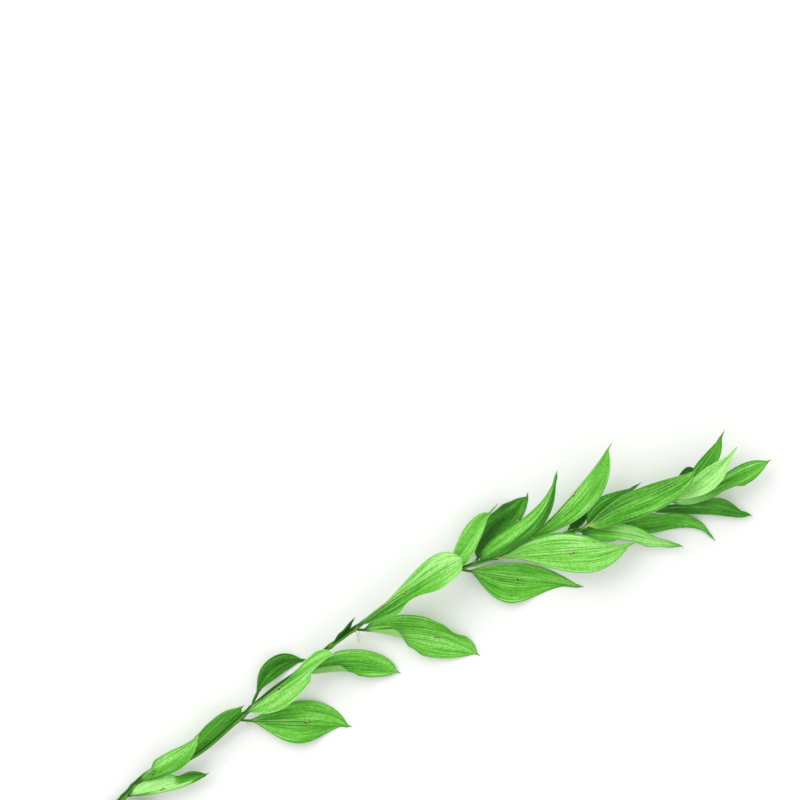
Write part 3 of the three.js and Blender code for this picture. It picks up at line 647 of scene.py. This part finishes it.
def make_bracts(material):
    """A pointed bract with a dark bud on the midrib of the leaves that bear one."""
    parts = []
    for leaf in leaves:
        if leaf["bract"]:
            origin, forward, left, up = leaf_frame(leaf, leaf["bract"])
            bract = boat(origin, forward, left, up, BRACT_LENGTH, BRACT_WIDTH, BRACT_HEIGHT)
            beside = origin - BUD_BACK * forward - BUD_ASIDE * left
            size = (BUD_LENGTH, BUD_WIDTH, BUD_HEIGHT)
            bud, bud_faces, reach = boat(beside, forward, left, up, *size)
            parts += [bract, (bud, bud_faces, np.ones_like(reach))]
    points, faces, reach = join_parts(parts)
    return make_object("bracts", points, faces, material, {"reach": reach})


def make_scales(material):
    """A dry scale at the root of each leaf, lying along the stem."""
    parts = []
    for leaf in leaves:
        x = leaf["at"]
        forward = unit(stem_at(x + 1) - stem_at(x - 1))
        heading = math.radians(leaf["heading"])
        outward = np.array([math.cos(heading), math.sin(heading), SCALE_RISE])
        outward = unit(outward - forward * np.dot(outward, forward))
        left = np.cross(outward, forward)
        origin = stem_at(x) - SCALE_BACK * forward + outward * stem_radius(x) * SCALE_DEPTH
        scale = boat(origin, forward, left, outward, SCALE_LENGTH, SCALE_WIDTH, SCALE_HEIGHT)
        parts.append(scale)
    points, faces, reach = join_parts(parts)
    return make_object("node_scales", points, faces, material, {"reach": reach})


def thread_tube(start, heading, length, bend):
    """A thin curved hair that falls from a point to the surface."""
    direction = math.radians(heading)
    forward = np.array([math.cos(direction), math.sin(direction), 0])
    left = np.array([-math.sin(direction), math.cos(direction), 0])
    angle = np.linspace(0, 2 * np.pi, THREAD_SIDES, endpoint=False)[:, None]
    around = np.cos(angle) * left + np.sin(angle) * [0, 0, 1]
    rings = []
    for s in np.arange(THREAD_STEPS + 1) / THREAD_STEPS:
        centre = start + s * length * forward + bend * s * s * left
        centre[2] = start[2] * (1 - s) ** THREAD_FALL + THREAD_HEIGHT
        rings.append(centre + THREAD_RADIUS * (1 - THREAD_TAPER * s) * around)
    faces = []
    for k in range(THREAD_STEPS):
        near, far = k * THREAD_SIDES, (k + 1) * THREAD_SIDES
        for s in range(THREAD_SIDES):
            n = (s + 1) % THREAD_SIDES
            faces.append([near + s, near + n, far + n, far + s])
    reach = np.repeat(np.linspace(0, THREAD_TONE, THREAD_STEPS + 1), THREAD_SIDES)
    return np.concatenate(rings), faces, reach


def make_threads(material):
    """Hair-like threads at some of the nodes."""
    parts = [thread_tube(stem_at(x), *form) for x, *form in THREADS]
    points, faces, reach = join_parts(parts)
    return make_object("node_threads", points, faces, material, {"reach": reach})


def colour(red, green, blue):
    """A linear colour from the 0 to 255 values that a screen shows."""
    return tuple((c / 255) ** SCREEN_GAMMA for c in (red, green, blue)) + (1,)


class Tree:
    """Builds a material's nodes with short calls."""

    def __init__(self, name):
        self.material = bpy.data.materials.new(name)
        self.material.use_nodes = True
        self.tree = self.material.node_tree
        self.shader = self.tree.nodes["Principled BSDF"]

    def add(self, kind, inputs, output=0, **settings):
        """Adds a node, fills its inputs with numbers, colours or outputs, and gives an output."""
        made = self.tree.nodes.new(kind)
        for key, value in settings.items():
            setattr(made, key, value)
        for key, value in inputs.items():
            self.fill(made.inputs[key], value)
        return made.outputs[output]

    def fill(self, socket, value):
        """Links an output to a socket, or sets its value."""
        if isinstance(value, bpy.types.NodeSocket):
            self.tree.links.new(value, socket)
        else:
            socket.default_value = value

    def value(self, name):
        """A value that the mesh holds at its points."""
        return self.add("ShaderNodeAttribute", {}, "Fac", attribute_name=name)

    def math(self, operation, a, b=0.0):
        """Arithmetic on two numbers."""
        return self.add("ShaderNodeMath", {0: a, 1: b}, operation=operation)

    def step(self, low, high, x):
        """Rises smoothly from 0 at low to 1 at high, or falls where low is above high."""
        ends = (0.0, 1.0) if low < high else (1.0, 0.0)
        inputs = {0: x, 1: min(low, high), 2: max(low, high), 3: ends[0], 4: ends[1]}
        return self.add("ShaderNodeMapRange", inputs, interpolation_type="SMOOTHSTEP")

    def mix(self, share, a, b):
        """A mix of two colours."""
        return self.add("ShaderNodeMix", {0: share, 6: a, 7: b}, 2, data_type="RGBA")

    def line(self, form, away, tint, line_colour, share=1.0):
        """Draws a line of a colour: where it ends and is full, and its strength, are its form."""
        outside, inside, strength = form
        drawn = self.math("MULTIPLY", self.step(outside, inside, away), share)
        return self.mix(self.math("MULTIPLY", drawn, strength), tint, line_colour)

    def place(self):
        """The place on the object, in metres."""
        return self.add("ShaderNodeTexCoord", {}, "Object")

    def noise(self, vector, scale, detail=3.0, rough=0.55):
        """Noise around 0.5."""
        inputs = {"Vector": vector, "Scale": scale, "Detail": detail, "Roughness": rough}
        return self.add("ShaderNodeTexNoise", inputs, "Fac")

    def streaks(self, along, across, seed, form):
        """Noise drawn out along the leaf."""
        x = self.math("MULTIPLY", along, form["along"])
        y = self.math("MULTIPLY", across, form["across"])
        return self.noise(self.vector(x, y, seed), 1.0, form["detail"], STREAK_ROUGHNESS)

    def lines(self, reach, form):
        """Thin lines: 1 on each of a number of lines from midrib to margin, 0 between them."""
        away = self.math("PINGPONG", self.math("MULTIPLY", reach, 2.0 * form["count"]), 0.5)
        return self.step(form["width"], 0.0, away)

    def vector(self, x, y, z):
        """A vector from three numbers."""
        return self.add("ShaderNodeCombineXYZ", {0: x, 1: y, 2: z})

    def ramp(self, share, stops):
        """A colour ramp through places and colours."""
        made = self.tree.nodes.new("ShaderNodeValToRGB")
        band = made.color_ramp.elements
        while len(band) < len(stops):
            band.new(0.5)
        for element, (place, tint) in zip(band, stops):
            element.position = place
            element.color = colour(*tint)
        self.fill(made.inputs[0], share)
        return made.outputs[0]

    def shade(self, tint, roughness, specular=None, height=None, bump=None):
        """Sets the shader's colour and gloss, with a bump where a height is given."""
        self.fill(self.shader.inputs["Base Color"], tint)
        self.shader.inputs["Roughness"].default_value = roughness
        if specular is not None:
            self.shader.inputs["Specular IOR Level"].default_value = specular
        if height is not None:
            inputs = {"Height": height, "Strength": bump[0], "Distance": bump[1]}
            self.fill(self.shader.inputs["Normal"], self.add("ShaderNodeBump", inputs))
        return self.material


def leaf_material():
    """Green leaf: streaks and veins, painted shade and light in its tone, a drawn midrib with a
    painted highlight beside it, a margin of painted shade or highlight, and a duller back.
    """
    tree = Tree("leaf")
    along, across, seed = tree.value("along"), tree.value("across"), tree.value("seed")
    reach = tree.math("ABSOLUTE", across)
    fine = tree.streaks(along, across, seed, FINE_STREAKS)
    # Broad streaks: random tone that also stands in for painted sheen and shade.
    broad = tree.streaks(along, across, tree.math("ADD", seed, BROAD_SEED), BROAD_TONE_AND_SHEEN)
    mottle = tree.noise(tree.place(), MOTTLE["scale"])
    vein = tree.lines(reach, VEIN_LINES)
    veinlet = tree.lines(reach, VEINLET_LINES)
    # The leaf's tone, with its painted shade and light, then streaks, mottle and veins.
    shade_and_tone = tree.value("shade_and_tone")
    for noise, form in ((fine, FINE_STREAKS), (broad, BROAD_TONE_AND_SHEEN), (mottle, MOTTLE)):
        around_zero = tree.math("SUBTRACT", noise, 0.5)
        shade_and_tone = tree.math("ADD", shade_and_tone, tree.math("MULTIPLY", around_zero, form["amount"]))
    for line, form in ((vein, VEIN_LINES), (veinlet, VEINLET_LINES)):
        shade_and_tone = tree.math("SUBTRACT", shade_and_tone, tree.math("MULTIPLY", line, form["amount"]))
    under = tree.math("MULTIPLY", tree.value("under"), UNDER_SHARE)
    tint = tree.mix(under, tree.ramp(shade_and_tone, UPPER_GREENS), tree.ramp(shade_and_tone, UNDER_GREENS))
    rib = tree.value("rib")
    away = tree.math("ABSOLUTE", tree.value("offset"))
    beside = tree.math("ABSOLUTE", tree.math("SUBTRACT", away, RIB_SIDE))
    tint = tree.line(RIB_LINE, away, tint, colour(*RIB_DARK), rib)
    # A paler line of painted highlight beside the midrib.
    tint = tree.line(RIB_HIGHLIGHT_LINE, beside, tint, colour(*RIB_HIGHLIGHT), rib)
    # Painted shade along the margin, or a painted highlight where it catches the light.
    margin = tree.mix(tree.value("lit_rim"), colour(*MARGIN_SHADE), colour(*MARGIN_HIGHLIGHT))
    tint = tree.line(PAINTED_MARGIN_LINE, tree.value("edge"), tint, margin)
    stalk = tree.mix(tree.value("pale"), colour(*STALK_GREEN), colour(*STALK_YELLOW))
    tint = tree.mix(tree.value("stalk"), tint, stalk)
    tint = tree.mix(tree.value("dry"), tint, colour(*TIP_GREEN))
    height = tree.math("SUBTRACT", fine, tree.math("MULTIPLY", vein, LEAF_BUMP_VEINS))
    return tree.shade(tint, LEAF_ROUGHNESS, LEAF_SPECULAR, height, LEAF_BUMP)


def stem_material():
    """Green stem with darker lengthwise lines, and a pale cut face."""
    tree = Tree("stem")
    ridge = tree.value("ridge")
    along = tree.math("MULTIPLY", tree.value("place"), STEM_GRAIN_ALONG)
    around = tree.math("MULTIPLY", ridge, STEM_GRAIN_AROUND)
    grain = tree.noise(tree.vector(along, around, 0.0), **STEM_GRAIN)
    shade = tree.math("ADD", tree.math("MULTIPLY", ridge, STEM_RIDGE_TONE), grain)
    tint = tree.ramp(shade, STEM_GREENS)
    tint = tree.mix(tree.step(*CUT_EDGE, tree.value("cut")), tint, colour(*CUT_FACE))
    return tree.shade(tint, STEM_ROUGHNESS, STEM_SPECULAR, grain, STEM_BUMP)


def bract_material(name, colours):
    """Dry papery scale that changes colour from its root to its tip."""
    tree = Tree(name)
    speck = tree.math("SUBTRACT", tree.noise(tree.place(), SPECK_SCALE), 0.5)
    share = tree.math("ADD", tree.value("reach"), tree.math("MULTIPLY", speck, SPECK_AMOUNT))
    return tree.shade(tree.ramp(share, colours), BRACT_ROUGHNESS)


def make_floor():
    """A wide pale surface under the stem."""
    bpy.ops.mesh.primitive_plane_add(size=FLOOR_SIZE)
    floor = bpy.context.object
    floor.name = "floor"
    floor.data.materials.append(Tree("floor").shade(FLOOR_COLOUR, FLOOR_ROUGHNESS))
    return floor


def image_place(right, up, height):
    """A point in metres from distances in the photograph's directions and a height."""
    turn = math.radians(VIEW_TURN)
    x = VIEW_CENTRE[0] + right * math.cos(turn) + up * math.sin(turn)
    y = VIEW_CENTRE[1] - right * math.sin(turn) + up * math.cos(turn)
    return ((np.array([x, y, height]) + shift) * MM).tolist()


def make_camera():
    """A camera straight above, turned as in the photograph."""
    data = bpy.data.cameras.new("camera")
    data.sensor_width = SENSOR
    data.lens = SENSOR * CAMERA_HEIGHT / VIEW_WIDTH
    data.clip_end = CAMERA_REACH
    camera = bpy.data.objects.new("camera", data)
    camera.location = image_place(0, 0, CAMERA_HEIGHT)
    camera.rotation_euler = (0, 0, -math.radians(VIEW_TURN))
    bpy.context.collection.objects.link(camera)
    bpy.context.scene.camera = camera


def make_lamp(right, up, height, size, power):
    """A soft square lamp that faces the middle of the view."""
    data = bpy.data.lights.new("key", "AREA")
    data.size = size
    data.energy = power
    lamp = bpy.data.objects.new("key", data)
    lamp.location = image_place(right, up, height)
    aim = np.array(image_place(0, 0, 0)) - np.array(lamp.location)
    lamp.rotation_euler = Vector(aim).to_track_quat("-Z", "Y").to_euler()
    bpy.context.collection.objects.link(lamp)


def make_world():
    """Even white light from all round."""
    world = bpy.data.worlds.new("world")
    world.use_nodes = True
    background = world.node_tree.nodes["Background"]
    background.inputs["Color"].default_value = (1, 1, 1, 1)
    background.inputs["Strength"].default_value = WORLD_LIGHT
    bpy.context.scene.world = world
    bpy.context.scene.view_settings.view_transform = "Standard"


def frame_shift():
    """What moves the stem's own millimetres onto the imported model's: box centre to box centre."""
    u, v = leaf_grid()
    points = [blade_points(leaf, u, v).reshape(-1, 3) for leaf in leaves]
    points = np.concatenate([*points, stem_ring(0)[0]])
    low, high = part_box("leafy_stem")
    centre = (np.array(low) + np.array(high)) / 2 / MM
    own = (points.min(axis=0) + points.max(axis=0)) / 2
    return np.array([centre[0] - own[0], centre[1] - own[1], low[2] / MM])


leaves = [{**LEAF, **form} for form in LEAVES]
shift = frame_shift()

green_leaf = leaf_material()
scale_material = bract_material("scale", SCALE_COLOURS)
pieces = {
    "leaf": [make_leaf(number, leaf, green_leaf) for number, leaf in enumerate(leaves)],
    "stem": [make_stem(stem_material())],
    "bract": [
        make_bracts(bract_material("bract", BRACT_COLOURS)),
        make_scales(scale_material),
        make_threads(scale_material),
    ],
}
for slot, members in pieces.items():
    for piece in members:
        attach(piece, "root")
        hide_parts("leafy_stem")

make_floor()
make_world()
make_lamp(**KEY_LAMP)
make_camera()
